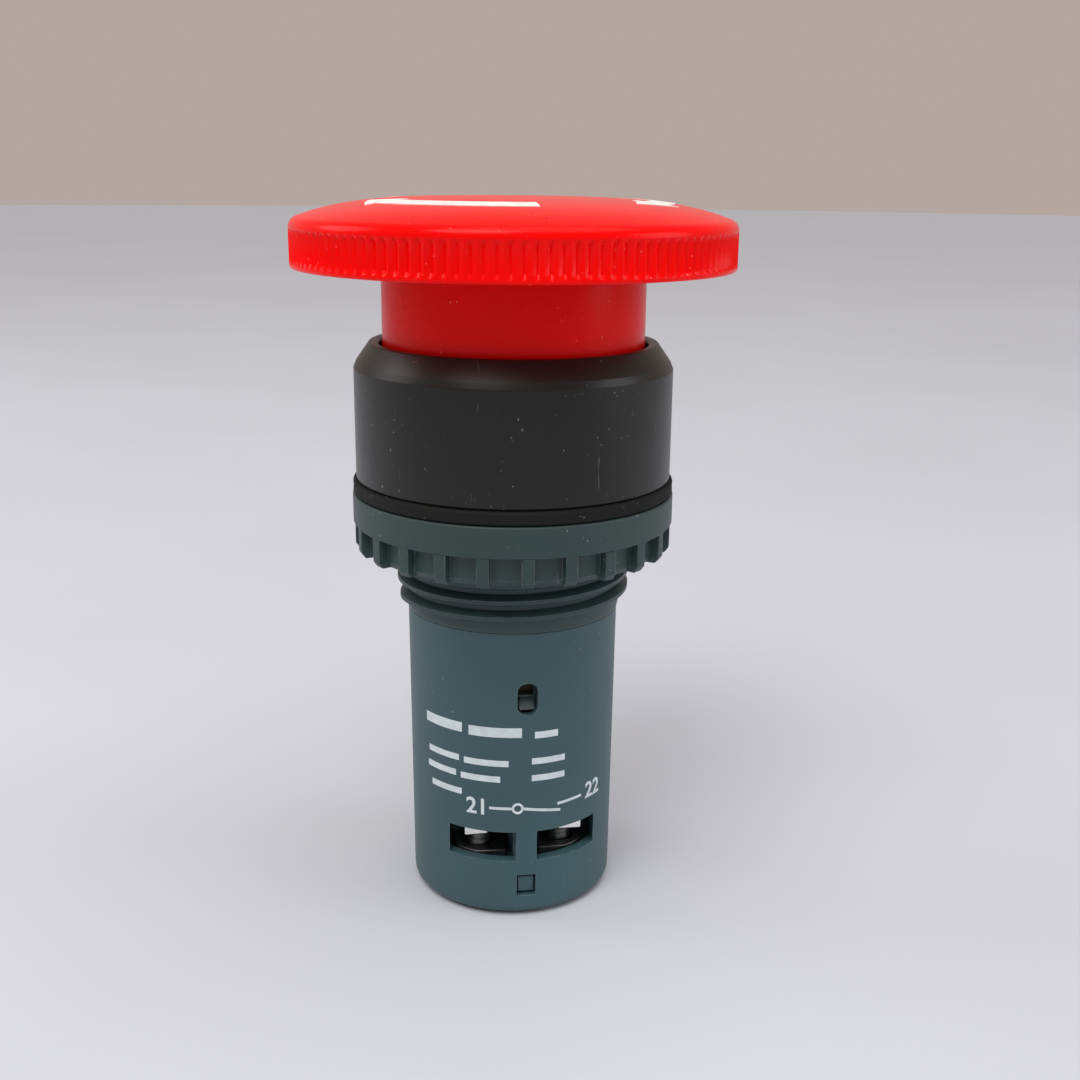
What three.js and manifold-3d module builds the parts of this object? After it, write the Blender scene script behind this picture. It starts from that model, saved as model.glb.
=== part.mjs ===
// Emergency stop button for a 22 mm panel hole, with a 40 mm mushroom head.
// Millimetres, +Z up. The origin is the centre of the flat rear end, and the printed side faces -Y.
import * as THREE from 'three';
import { mergeVertices } from 'three/addons/utils/BufferGeometryUtils.js';
import Module from 'manifold-3d';

const wasm = await Module();
wasm.setup();

// ---- Driving dimensions ----
const AROUND = 40; // sides of the round pieces
const AROUND_WIDE = 60; // sides of the widest round pieces
const AROUND_SMALL = 16; // sides of screws, pins and small holes
const SPRING_STEPS = 10; // lengths of wire in one turn of a spring
const GAP = 0.1; // clearance between fixed pieces
const EASE = 0.3; // small edge chamfer
const THROUGH = 12; // farther from the axis than any wall that a cut goes through
const BITE = 0.2; // how far joined shapes reach into each other

const TRAVEL = 5.5; // stroke of the head

const HEAD = { r: 20, bottom: 60, rimTop: 64.2, top: 66.2, edge: 0.5, shell: 3 };
HEAD.domeSteps = [0.3, 0.5, 0.65, 0.8, 0.9]; // shares of the radius where the domed top is faceted
HEAD.recess = { outer: 18, inner: 13.6, depth: 2.6, draft: 0.4 };
const SLEEVE = { r: 12, bore: 10.4, bottom: 49, plugR: 11, plugTop: 62.6 };
const COLLAR = { r: 14.65, shoulderR: 14.35, shoulder: 51.7, top: 53.4, bore: 12.3, guideBottom: 50.4 };
COLLAR.lip = 0.9;
COLLAR.bottom = 40.9;
COLLAR.cavityR = 13.45;
const GASKET = { r: 15, bore: 11.2, bottom: 39.65, top: COLLAR.bottom };
const NUT = { r: 15, bore: 11.2, bottom: 34.1, bandBottom: 36.8, top: 39.6, rootR: 14, ribR: 14.8 };
NUT.ribs = 24;
NUT.ribWidth = 1.0;
NUT.ribFlare = 0.3; // how much wider a rib's root is than its top, on the whole
NUT.firstRib = 0.8; // how far round the first rib stands, in rib spacings
const THREAD = { r: 11, rootR: 10.15, pitch: 1.5, bottom: 29.4, top: 40.4 };
const BUSHING = { bottom: 28.4, spigotR: 8.6, spigotBottom: 24.5, bore: 8.2, lowBore: 7.6 };
BUSHING.web = { bottom: 30, top: 31.5, hole: 3.0 };
BUSHING.flange = { r: 13.2, top: 42.9, cupBore: 12.5, cupTop: 48.2 };
const HOOK = { legAngle: 36, legBottom: 20.3, width: 1.5, bottom: 20.9, top: 23.2, reach: 9.6 };
const LATCH = { r: 9.9, bore: 5.7, bottom: 43.0, top: 47.2, axisZ: 45, holeR: 0.95, holeEnd: 9.5 };
const PIN = { r: 0.8, inner: 5.5, outer: 7.7 };

const SPINDLE = { bottom: 38.4, hubR: 4, flangeR: 7.4, flangeBottom: 40.5, flangeTop: 42, socketR: 1.72 };
SPINDLE.coneR = 5.2;
SPINDLE.neckR = 4.2;
SPINDLE.discR = 8.8;
SPINDLE.discBottom = 60.9;
SPINDLE.top = 63.0;
SPINDLE.socketTop = 43;
const ROD = { r: 2.6, bottom: 24.5, shoulder: 38.2, pivotR: 1.62, top: 42.4 };

const HOUSING = { topR: 10, bottomR: 9.75, bore: 8.8, top: 28.4, edge: 1.0 };
const WINDOW = { inner: 0.99, outer: 6.95, bottom: 5.7, top: 8.7 };
const UPPER_SLOT = { width: 1.9, bottom: 20.5, top: 23.6 };
const LOWER_SLOT = { width: 1.8, bottom: 2.05, top: 4.2 };

const BASE = { r: 8.65, top: 10.2, pocketR: 1.7, pocketBottom: 2.5, tabWidth: 1.5, tabReach: 9.55 };
BASE.tab = { bottom: 2.3, top: 3.95 };
BASE.rail = { halfWidth: 1.8, inner: 6.6, outer: 7.2, top: 20 };
const CHAMBER = { inner: 1.05, outer: 7.1, near: 2.6, bottom: 4.8, top: 9.4 };
const SCREW = { x: 3.9, y: 4.75, headR: 2.0, headBottom: 3.3, headTop: 4.75, r: 1.2, top: 10.1 };
SCREW.slot = { width: 0.55, reach: 1.35, depth: 0.75 };
SCREW.headHole = 2.2;
SCREW.tipHole = 1.6;
const CLAMP = { bottom: 4.9, top: 5.65, halfX: 2.3, near: 2.75, far: 7.2, hole: 1.4 };
const PLATE = { bottom: 8.5, top: 9.3, inner: 1.35, outer: 7.0, near: 2.9, far: 7.6, hole: 1.3 };
PLATE.trimR = 8.35;
const LEG = { inner: 6.3, outer: 7.0, near: 2.9, far: 4.6 };
const ARM = { inner: 4.1, near: 1.9, thick: 0.7 };
const TIP = { x: 5.0, y: 3.2, r: 0.8, thick: 0.5 };
const NC = { armBottom: 20.5, bridgeBottom: 19.38 }; // opens as the head goes down
const NO = { armBottom: 13.0, bridgeBottom: 17.25 }; // closes as the head goes down
const BRIDGE = { halfLength: 6.0, halfWidth: 1.4, thick: 0.6 };

const CARRIER = { halfX: 2.2, halfY: 6.3, bottom: 16, top: 24.4 };
CARRIER.window = { near: 1.5, far: 4.9, bottom: 17.2, top: 22.5 };

// ---- Finishes ----
const FINISH = {
  headRed: { color: 0xe8130a, roughness: 0.35, metalness: 0 },
  sleeveRed: { color: 0xb80d08, roughness: 0.4, metalness: 0 },
  collarBlack: { color: 0x1c1b1a, roughness: 0.35, metalness: 0 },
  rubber: { color: 0x121312, roughness: 0.85, metalness: 0 },
  slate: { color: 0x3a4a4c, roughness: 0.5, metalness: 0 },
  nutGreen: { color: 0x33423e, roughness: 0.5, metalness: 0 },
  ivory: { color: 0xd9d2c0, roughness: 0.5, metalness: 0 },
  steel: { color: 0xb9bcbf, roughness: 0.3, metalness: 1 },
  brass: { color: 0xc9a45a, roughness: 0.35, metalness: 1 },
};

// ---- Solids ----
function withoutFlatTriangles(index) {
  const kept = [];
  for (let i = 0; i < index.length; i += 3) {
    const [a, b, c] = [index[i], index[i + 1], index[i + 2]];
    if (a !== b && b !== c && c !== a) kept.push(a, b, c);
  }
  return new Uint32Array(kept);
}

function solid(geometry) {
  const bare = geometry.clone();
  bare.deleteAttribute('normal');
  bare.deleteAttribute('uv');
  const merged = mergeVertices(bare, 1e-4);
  const vertProperties = new Float32Array(merged.attributes.position.array);
  const triVerts = withoutFlatTriangles(merged.index.array);
  return new wasm.Manifold(new wasm.Mesh({ numProp: 3, vertProperties, triVerts }));
}

function geometryOf(manifold) {
  const mesh = manifold.getMesh();
  const geometry = new THREE.BufferGeometry();
  geometry.setAttribute('position', new THREE.BufferAttribute(new Float32Array(mesh.vertProperties), 3));
  geometry.setIndex(new THREE.BufferAttribute(new Uint32Array(mesh.triVerts), 1));
  geometry.computeVertexNormals();
  return geometry;
}

// A ring or disc about Z. Its outline is a list of [radius, height] points.
function turned(outline, sides = AROUND) {
  const points = outline.map(([r, z]) => new THREE.Vector2(r, z));
  const open = outline.every(([r]) => r > 0);
  if (THREE.ShapeUtils.area(points) < 0) points.reverse();
  if (open) points.push(points[0].clone());
  return solid(new THREE.LatheGeometry(points, sides).rotateX(Math.PI / 2));
}

function block(x, y, z) {
  const size = [x[1] - x[0], y[1] - y[0], z[1] - z[0]];
  const geometry = new THREE.BoxGeometry(...size);
  return solid(geometry.translate((x[0] + x[1]) / 2, (y[0] + y[1]) / 2, (z[0] + z[1]) / 2));
}

function rod(r, bottom, top, x = 0, y = 0, sides = AROUND_SMALL) {
  const geometry = new THREE.CylinderGeometry(r, r, top - bottom, sides).rotateX(Math.PI / 2);
  return solid(geometry.translate(x, y, (bottom + top) / 2));
}

// An outline in X and Z, run along Y from the front to the back of the button.
function acrossY(shape, reach) {
  const options = { depth: 2 * reach, bevelEnabled: false, curveSegments: 8 };
  const geometry = new THREE.ExtrudeGeometry(shape, options);
  return solid(geometry.rotateX(Math.PI / 2).translate(0, reach, 0));
}

class Helix extends THREE.Curve {
  constructor(r, bottom, top, turns) {
    super();
    Object.assign(this, { r, bottom, top, turns });
  }

  getPoint(t, target = new THREE.Vector3()) {
    const angle = 2 * Math.PI * this.turns * t;
    const height = THREE.MathUtils.lerp(this.bottom, this.top, t);
    return target.set(this.r * Math.cos(angle), this.r * Math.sin(angle), height);
  }
}

function spring(r, wire, bottom, top, turns) {
  const half = wire / 2;
  const section = new THREE.Shape().absarc(0, 0, half, 0, 2 * Math.PI);
  const extrudePath = new Helix(r, bottom + half, top - half, turns);
  const steps = Math.round(turns * SPRING_STEPS);
  return solid(new THREE.ExtrudeGeometry(section, { steps, extrudePath, curveSegments: 3 }));
}

const joined = (pieces) => pieces.reduce((whole, piece) => whole.add(piece));
const cutFrom = (whole, tools) => tools.reduce((rest, tool) => rest.subtract(tool), whole);
const SIDES = [-1, 1];

// ---- Head ----
function mushroomHead() {
  const { r, bottom, rimTop, top, domeSteps, edge, shell, recess } = HEAD;
  const domeHeight = (share) => top - (top - rimTop) * share ** 4;
  return turned([
    [0, top],
    ...domeSteps.map((share) => [share * r, domeHeight(share)]),
    [r - edge, domeHeight((r - edge) / r)],
    [r, rimTop - edge],
    [r, bottom + edge],
    [r - edge, bottom],
    [recess.outer, bottom],
    [recess.outer - recess.draft, bottom + recess.depth],
    [recess.inner + recess.draft, bottom + recess.depth],
    [recess.inner, bottom],
    [SLEEVE.plugR + GAP, bottom],
    [SLEEVE.plugR + GAP, top - shell],
    [0, top - shell],
  ], AROUND_WIDE);
}

function headSleeve() {
  const { r, bore, bottom, plugR, plugTop } = SLEEVE;
  const plugBore = SPINDLE.discR + GAP;
  return turned([
    [r, bottom + EASE],
    [r, HEAD.bottom],
    [plugR, HEAD.bottom],
    [plugR, plugTop],
    [plugBore, plugTop],
    [plugBore, SPINDLE.discBottom - GAP],
    [bore, HEAD.bottom - 1],
    [bore, bottom],
    [r - EASE, bottom],
  ]);
}

function actuatorSpindle() {
  const s = SPINDLE;
  const body = turned([
    [0, s.top],
    [s.discR, s.top],
    [s.discR, s.discBottom],
    [s.neckR, s.discBottom - 1.2],
    [s.neckR, LATCH.axisZ + TRAVEL],
    [s.coneR, LATCH.axisZ],
    [s.coneR, s.flangeTop],
    [s.flangeR, s.flangeTop],
    [s.flangeR, s.flangeBottom],
    [s.hubR, s.flangeBottom],
    [s.hubR, s.bottom],
    [0, s.bottom],
  ]);
  return cutFrom(body, [rod(s.socketR, s.bottom - 1, s.socketTop)]);
}

// ---- Collar, seal, gasket and nut ----
function bezelCollar() {
  const { r, shoulderR, shoulder, top, bore, lip, bottom, cavityR, guideBottom } = COLLAR;
  return turned([
    [bore, guideBottom],
    [bore, top - EASE],
    [bore + EASE, top],
    [bore + lip, top],
    [shoulderR, shoulder],
    [r, shoulder - 0.5],
    [r, bottom],
    [cavityR, bottom],
    [cavityR, guideBottom],
  ], AROUND_WIDE);
}

function wiperSeal() {
  const outer = COLLAR.cavityR - GAP;
  const inner = SLEEVE.r + GAP;
  return turned([
    [outer, BUSHING.flange.cupTop + GAP],
    [outer, COLLAR.guideBottom - GAP],
    [inner + 0.5, COLLAR.guideBottom - GAP],
    [inner, COLLAR.guideBottom - 0.5],
    [inner + 0.4, BUSHING.flange.cupTop + GAP],
  ]);
}

function panelGasket() {
  const { r, bore, bottom, top } = GASKET;
  return turned([
    [bore, bottom],
    [bore, top],
    [r - EASE, top],
    [r, top - EASE],
    [r, bottom + EASE],
    [r - EASE, bottom],
  ], AROUND_WIDE);
}

function ribbedOutline() {
  const half = NUT.ribWidth / 2;
  const points = [];
  for (let rib = 0; rib < NUT.ribs; rib += 1) {
    const middle = (2 * Math.PI * (rib + NUT.firstRib)) / NUT.ribs;
    const foot = 1 + NUT.ribFlare;
    const corners = [[NUT.rootR, -foot], [NUT.ribR, -1], [NUT.ribR, 1], [NUT.rootR, foot]];
    for (const [r, side] of corners) {
      const angle = middle + (side * half) / r;
      points.push(new THREE.Vector2(r * Math.cos(angle), r * Math.sin(angle)));
    }
  }
  return new THREE.Shape(points);
}

function ringNut() {
  const { r, bore, bottom, bandBottom, top } = NUT;
  const depth = bandBottom - bottom + BITE;
  const ribbed = new THREE.ExtrudeGeometry(ribbedOutline(), { depth, bevelEnabled: false });
  const ribs = solid(ribbed.translate(0, 0, bottom));
  const band = turned([
    [0, bandBottom],
    [r, bandBottom],
    [r, top - EASE],
    [r - EASE, top],
    [0, top],
  ], AROUND_WIDE);
  return cutFrom(joined([ribs, band]), [rod(bore, bottom - 1, top + 1, 0, 0, AROUND)]);
}

// ---- Threaded bushing ----
function threadOutline() {
  const { r, rootR, pitch, bottom, top } = THREAD;
  const points = [];
  for (let z = bottom; z < top; z += pitch) {
    points.push([rootR, z], [r, z + pitch / 2]);
  }
  points.push([rootR, top]);
  return points;
}

function threadedBushing() {
  const b = BUSHING;
  const wallR = HOUSING.topR;
  const tube = turned([
    [b.lowBore, b.spigotBottom],
    [b.spigotR, b.spigotBottom],
    [b.spigotR, b.bottom],
    [wallR, b.bottom],
    [THREAD.rootR, b.bottom + BITE],
    ...threadOutline(),
    [THREAD.rootR, COLLAR.bottom],
    [b.flange.r, COLLAR.bottom],
    [b.flange.r, b.flange.cupTop],
    [b.flange.cupBore, b.flange.cupTop],
    [b.flange.cupBore, b.flange.top],
    [b.bore, b.flange.top],
    [b.bore, b.web.top],
    [b.web.hole, b.web.top],
    [b.web.hole, b.web.bottom],
    [b.lowBore, b.web.bottom],
  ]);
  const legRing = turned([
    [b.lowBore, HOOK.legBottom],
    [b.spigotR, HOOK.legBottom],
    [b.spigotR, b.spigotBottom + BITE],
    [b.lowBore, b.spigotBottom + BITE],
  ]);
  const legHalf = b.spigotR * Math.sin(THREE.MathUtils.degToRad(HOOK.legAngle / 2));
  const legBox = block([-legHalf, legHalf], [-THROUGH, THROUGH], [HOOK.legBottom - 1, b.spigotBottom + 1]);
  const hooks = SIDES.map((side) => {
    const out = span(side, b.lowBore + BITE, HOOK.reach);
    return block([-HOOK.width / 2, HOOK.width / 2], out, [HOOK.bottom, HOOK.top]);
  });
  return joined([tube, legRing.intersect(legBox), ...hooks]);
}

// ---- Latch ----
function latchRing() {
  const { r, bore, bottom, top, axisZ, holeR, holeEnd } = LATCH;
  const ring = turned([[bore, bottom], [r, bottom], [r, top], [bore, top]]);
  const holes = SIDES.map((side) => {
    const start = bore - 1;
    const hole = new THREE.CylinderGeometry(holeR, holeR, holeEnd - start, AROUND_SMALL);
    return solid(hole.rotateZ(Math.PI / 2).translate((side * (holeEnd + start)) / 2, 0, axisZ));
  });
  return cutFrom(ring, holes);
}

function latchPin(side) {
  const { r, inner, outer } = PIN;
  const pin = turned([
    [0, inner],
    [r - EASE, inner],
    [r, inner + EASE],
    [r, outer],
    [0, outer],
  ], AROUND_SMALL);
  return pin.rotate([0, 90 * side, 0]).translate([0, 0, LATCH.axisZ]);
}

function latchSpring(side) {
  const coil = spring(0.55, 0.25, PIN.outer + GAP, LATCH.holeEnd - GAP, 3);
  return coil.rotate([0, 90 * side, 0]).translate([0, 0, LATCH.axisZ]);
}

// ---- Contact block ----
function pushRod() {
  const { r, bottom, shoulder, pivotR, top } = ROD;
  return turned([
    [0, bottom],
    [r - EASE, bottom],
    [r, bottom + EASE],
    [r, shoulder],
    [pivotR, shoulder],
    [pivotR, top - EASE],
    [pivotR - EASE, top],
    [0, top],
  ], AROUND_SMALL);
}

function contactHousing() {
  const { topR, bottomR, bore, top, edge } = HOUSING;
  const corner = [0, 45, 90].map((degrees) => {
    const angle = THREE.MathUtils.degToRad(degrees);
    return [bottomR - edge + edge * Math.sin(angle), edge - edge * Math.cos(angle)];
  });
  const tube = turned([[bore, 0], ...corner, [topR, top], [bore, top]], 36);
  const windows = SIDES.map((side) => {
    return block(span(side, WINDOW.inner, WINDOW.outer), [-THROUGH, THROUGH], [WINDOW.bottom, WINDOW.top]);
  });
  const half = UPPER_SLOT.width / 2;
  const slot = new THREE.Shape()
    .absarc(0, UPPER_SLOT.top - half, half, 0, Math.PI)
    .absarc(0, UPPER_SLOT.bottom + half, half, Math.PI, 2 * Math.PI);
  const low = LOWER_SLOT.width / 2;
  const lowerSlot = block([-low, low], [-THROUGH, THROUGH], [LOWER_SLOT.bottom, LOWER_SLOT.top]);
  return cutFrom(tube, [...windows, acrossY(slot, THROUGH), lowerSlot]);
}

// The two ends, in order, of a stretch from near to far on one side of the axis.
const span = (side, near, far) => [side * near, side * far].sort((p, q) => p - q);

function quadrants(make) {
  const made = [];
  for (const x of SIDES) {
    for (const y of SIDES) made.push(make(x, y));
  }
  return made;
}

function contactBase() {
  const { r, top, pocketR, pocketBottom, tab, tabWidth, tabReach, rail } = BASE;
  const body = turned([[0, 0], [r, 0], [r, top], [0, top]]);
  const tabs = SIDES.map((side) => {
    return block([-tabWidth / 2, tabWidth / 2], span(side, r - 1, tabReach), [tab.bottom, tab.top]);
  });
  const rails = SIDES.map((side) => {
    const out = span(side, rail.inner, rail.outer);
    return block([-rail.halfWidth, rail.halfWidth], out, [top - BITE, rail.top]);
  });
  const chambers = quadrants((x, y) => {
    const { inner, outer, near, bottom, top: ceiling } = CHAMBER;
    return block(span(x, inner, outer), span(y, near, THROUGH), [bottom, ceiling]);
  });
  const legSlots = quadrants((x, y) => {
    const along = span(y, LEG.near - 2 * GAP, LEG.far + 2 * GAP);
    return block(span(x, LEG.inner - 2 * GAP, THROUGH), along, [CHAMBER.top - BITE, top + 1]);
  });
  const headHoles = quadrants((x, y) => {
    return rod(SCREW.headHole, -1, CHAMBER.bottom + BITE, x * SCREW.x, y * SCREW.y);
  });
  const tipHoles = quadrants((x, y) => {
    return rod(SCREW.tipHole, CHAMBER.top - BITE, top + 1, x * SCREW.x, y * SCREW.y);
  });
  const pocket = rod(pocketR, pocketBottom, top + 1);
  const hollows = [...chambers, ...legSlots, ...headHoles, ...tipHoles, pocket];
  return cutFrom(joined([body, ...tabs, ...rails]), hollows);
}

// A terminal: the plate over the wire, a leg up past the base, and an arm that carries the fixed contact.
function terminal(x, y, armBottom, tipSide) {
  const armTop = armBottom + ARM.thick;
  const across = span(x, PLATE.inner, PLATE.outer);
  const plate = block(across, span(y, PLATE.near, PLATE.far), [PLATE.bottom, PLATE.top]);
  const trim = rod(PLATE.trimR, PLATE.bottom - 1, PLATE.top + 1, 0, 0, AROUND);
  const leg = block(span(x, LEG.inner, LEG.outer), span(y, LEG.near, LEG.far), [PLATE.bottom + GAP, armTop]);
  const arm = block(span(x, ARM.inner, LEG.outer), span(y, ARM.near, LEG.far), [armBottom, armTop]);
  const tipZ = tipSide > 0 ? armTop - GAP : armBottom + GAP;
  const tip = rod(TIP.r, ...span(1, tipZ, tipZ + tipSide * (TIP.thick + GAP)), x * TIP.x, y * TIP.y);
  const hole = rod(PLATE.hole, PLATE.bottom - 1, PLATE.top + 1, x * SCREW.x, y * SCREW.y);
  return cutFrom(joined([plate.intersect(trim), leg, arm, tip]), [hole]);
}

function clampPlate(x, y) {
  const { bottom, top, halfX, near, far, hole } = CLAMP;
  const square = block(span(x, SCREW.x - halfX, SCREW.x + halfX), span(y, near, far), [bottom, top]);
  const trim = rod(PLATE.trimR, bottom - 1, top + 1, 0, 0, AROUND);
  return cutFrom(square.intersect(trim), [rod(hole, bottom - 1, top + 1, x * SCREW.x, y * SCREW.y)]);
}

function terminalScrew(x, y) {
  const { headR, headBottom, headTop, r, top, slot } = SCREW;
  const screw = turned([
    [0, headBottom],
    [headR - EASE, headBottom],
    [headR, headBottom + EASE],
    [headR, headTop],
    [r, headTop],
    [r, top - EASE],
    [r - EASE, top],
    [0, top],
  ], AROUND_SMALL);
  const recess = [headBottom - 1, headBottom + slot.depth];
  const [across, along] = [[-slot.width / 2, slot.width / 2], [-slot.reach, slot.reach]];
  const slots = [block(across, along, recess), block(along, across, recess)];
  return cutFrom(screw, slots).translate([x * SCREW.x, y * SCREW.y, 0]);
}

function bridge(y, bottom) {
  const { halfLength, halfWidth, thick } = BRIDGE;
  const middle = y * TIP.y;
  const width = [middle - halfWidth, middle + halfWidth];
  return block([-halfLength, halfLength], width, [bottom, bottom + thick]);
}

function bridgeCarrier() {
  const { halfX, halfY, bottom, top, window } = CARRIER;
  const body = block([-halfX, halfX], [-halfY, halfY], [bottom, top]);
  const across = [-halfX - 1, halfX + 1];
  const windows = SIDES.map((side) => {
    return block(across, span(side, window.near, window.far), [window.bottom, window.top]);
  });
  return cutFrom(body, windows);
}

// ---- Assembly ----
const button = new THREE.Group();

function place(name, manifold, finish) {
  const mesh = new THREE.Mesh(geometryOf(manifold), new THREE.MeshStandardMaterial(FINISH[finish]));
  mesh.name = name;
  button.add(mesh);
}

place('mushroom_head', mushroomHead(), 'headRed');
place('head_sleeve', headSleeve(), 'sleeveRed');
place('actuator_spindle', actuatorSpindle(), 'ivory');
place('twist_spring', spring(6.8, 0.7, LATCH.top + GAP, SPINDLE.discBottom - 1.4, 5), 'steel');
place('bezel_collar', bezelCollar(), 'collarBlack');
place('wiper_seal', wiperSeal(), 'rubber');
place('panel_gasket', panelGasket(), 'rubber');
place('ring_nut', ringNut(), 'nutGreen');
place('threaded_bushing', threadedBushing(), 'slate');
place('latch_ring', latchRing(), 'ivory');
place('return_spring', spring(6.2, 0.9, BUSHING.web.top + GAP, SPINDLE.flangeBottom - GAP, 3), 'steel');
place('push_rod', pushRod(), 'ivory');
place('bridge_carrier', bridgeCarrier(), 'ivory');
place('carrier_spring', spring(1.2, 0.4, BASE.pocketBottom + GAP, CARRIER.bottom - GAP, 8), 'steel');
place('contact_housing', contactHousing(), 'slate');
place('contact_base', contactBase(), 'slate');

for (const [word, side] of [['left', -1], ['right', 1]]) {
  place(`latch_pin_${word}`, latchPin(side), 'steel');
  place(`latch_spring_${word}`, latchSpring(side), 'steel');
}

const TERMINALS = [
  { number: 21, x: -1, y: -1, armBottom: NC.armBottom, tipSide: -1 },
  { number: 22, x: 1, y: -1, armBottom: NC.armBottom, tipSide: -1 },
  { number: 13, x: 1, y: 1, armBottom: NO.armBottom, tipSide: 1 },
  { number: 14, x: -1, y: 1, armBottom: NO.armBottom, tipSide: 1 },
];
for (const { number, x, y, armBottom, tipSide } of TERMINALS) {
  place(`terminal_${number}`, terminal(x, y, armBottom, tipSide), 'brass');
  place(`clamp_plate_${number}`, clampPlate(x, y), 'steel');
  place(`terminal_screw_${number}`, terminalScrew(x, y), 'steel');
}

const { window: carrierWindow } = CARRIER;
place('nc_bridge', bridge(-1, NC.bridgeBottom), 'brass');
place('no_bridge', bridge(1, NO.bridgeBottom), 'brass');
const ncSpring = spring(1.0, 0.3, carrierWindow.bottom + GAP, NC.bridgeBottom - GAP, 2);
const noSpring = spring(1.0, 0.3, NO.bridgeBottom + BRIDGE.thick + GAP, carrierWindow.top - GAP, 4);
place('nc_contact_spring', ncSpring.translate([0, -TIP.y, 0]), 'steel');
place('no_contact_spring', noSpring.translate([0, TIP.y, 0]), 'steel');

export default button;
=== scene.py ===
"""Emergency stop button for a panel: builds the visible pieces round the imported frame."""
from math import atan2, cos, pi, radians, sin, tan

import bpy
from bpy.props import FloatProperty, FloatVectorProperty, IntProperty, PointerProperty
from mathutils import Matrix, Vector


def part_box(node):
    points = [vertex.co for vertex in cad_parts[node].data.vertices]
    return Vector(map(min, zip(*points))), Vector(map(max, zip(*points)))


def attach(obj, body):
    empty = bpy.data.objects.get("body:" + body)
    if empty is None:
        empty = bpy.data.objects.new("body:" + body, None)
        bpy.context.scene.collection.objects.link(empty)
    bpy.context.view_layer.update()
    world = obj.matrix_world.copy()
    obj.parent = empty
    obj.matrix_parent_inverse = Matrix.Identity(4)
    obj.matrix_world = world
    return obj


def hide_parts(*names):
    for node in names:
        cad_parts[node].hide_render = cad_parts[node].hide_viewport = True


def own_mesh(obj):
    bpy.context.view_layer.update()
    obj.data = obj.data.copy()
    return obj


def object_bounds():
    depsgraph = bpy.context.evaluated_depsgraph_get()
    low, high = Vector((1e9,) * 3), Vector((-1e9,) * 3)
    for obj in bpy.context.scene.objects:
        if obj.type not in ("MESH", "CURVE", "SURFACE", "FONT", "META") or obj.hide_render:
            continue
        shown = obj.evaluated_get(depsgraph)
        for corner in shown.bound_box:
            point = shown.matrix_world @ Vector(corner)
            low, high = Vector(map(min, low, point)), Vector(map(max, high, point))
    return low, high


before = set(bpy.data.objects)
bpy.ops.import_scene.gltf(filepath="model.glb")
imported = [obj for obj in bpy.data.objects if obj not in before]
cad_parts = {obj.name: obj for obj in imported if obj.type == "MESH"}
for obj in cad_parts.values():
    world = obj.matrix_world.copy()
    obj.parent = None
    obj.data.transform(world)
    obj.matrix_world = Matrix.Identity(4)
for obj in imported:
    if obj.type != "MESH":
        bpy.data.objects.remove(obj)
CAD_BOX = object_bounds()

bl_info = {
    "name": "Emergency Stop Button",
    "version": (1, 0, 0),
    "blender": (4, 5, 0),
    "location": "3D View > Sidebar > Stop Button",
    "description": "Builds a panel-mounted emergency stop button, one piece at a time",
    "category": "Add Mesh",
}

MM = 0.001
AXIS = (0, 0, 1)
CENTRE = (0, 0, 0)
SIDES = (-1, 1)
NUMBERS = ("21", "22", "13", "14")
STROKE = 5.5 * MM  # how far the head goes down
BRIDGE_LAG = 2.5 * MM  # how much less far the contact bridges go
TAPER = 0.25 * MM  # how much narrower the contact housing is at its rear end
SNAP_REACH = 9.55 * MM  # how far out the snap hooks and tabs stand
THROUGH = 12 * MM  # farther from the axis than any wall of the contact housing
INK = 0.06 * MM  # thickness of the print


# ---------------------------------------------------------------- sizes and colours

def length(name, millimetres, description):
    return FloatProperty(
        name=name, description=description, default=millimetres * MM, unit="LENGTH", precision=5
    )


def colour(name, red, green, blue, description):
    return FloatVectorProperty(
        name=name, description=description, default=(red, green, blue), subtype="COLOR", size=3,
        min=0, max=1,
    )


def angle(name, degrees, description):
    return FloatProperty(name=name, description=description, default=radians(degrees), unit="ROTATION")


class HeadSettings(bpy.types.PropertyGroup):
    rim_height: length("Rim height", 4.2, "Height of the straight rim")
    rim_round: length("Rim rounding", 1.0, "Rounding where the cone meets the rim")
    shell: length("Shell", 3.0, "Thickness of the head's middle")
    teeth: IntProperty(name="Knurl teeth", description="Grooves cut round the rim", default=120, min=12)
    groove: length("Groove depth", 0.34, "Depth of the rim's grooves")
    shade: colour("Head", 0.95, 0.0, 0.0, "Colour of the head")
    # The neck sleeve is the head's red plastic, darkened as painted shade under the head.
    sleeve_shaded_red: colour("Neck sleeve", 0.72, 0.0, 0.0, "Colour of the neck sleeve")
    arrow_inner: length("Arrow inner radius", 12.1, "Inside of the turn arrows' shafts")
    arrow_outer: length("Arrow outer radius", 14.3, "Outside of the turn arrows' shafts")
    arrow_sweep: angle("Arrow sweep", 78, "How far each turn arrow reaches round")
    arrow_tip: angle("First arrow tip", 192, "Where the first turn arrow points to, from +X")
    arrow_shade: colour("Arrows", 0.86, 0.85, 0.84, "Colour of the turn arrows")


class CollarSettings(bpy.types.PropertyGroup):
    chamfer_height: length("Chamfer height", 1.7, "Height of the sloped top of the collar")
    lip: length("Lip", 0.9, "Width of the flat round the collar's mouth")
    shade: colour("Collar", 0.006, 0.0062, 0.0055, "Colour of the collar")
    gasket_shade: colour("Gasket", 0.0045, 0.0055, 0.005, "Colour of the rubber parts")


class NutSettings(bpy.types.PropertyGroup):
    band: length("Band height", 2.8, "Height of the nut's plain band")
    root_radius: length("Root radius", 14.0, "Radius between the ribs")
    ribs: IntProperty(name="Ribs", description="Grip ribs round the nut", default=24, min=6)
    rib_width: length("Rib width", 1.1, "Width of one rib")
    first_rib: angle("First rib", 12, "Where the first rib stands, from +X")
    shade: colour("Nut", 0.026, 0.052, 0.051, "Colour of the nut")


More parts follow.
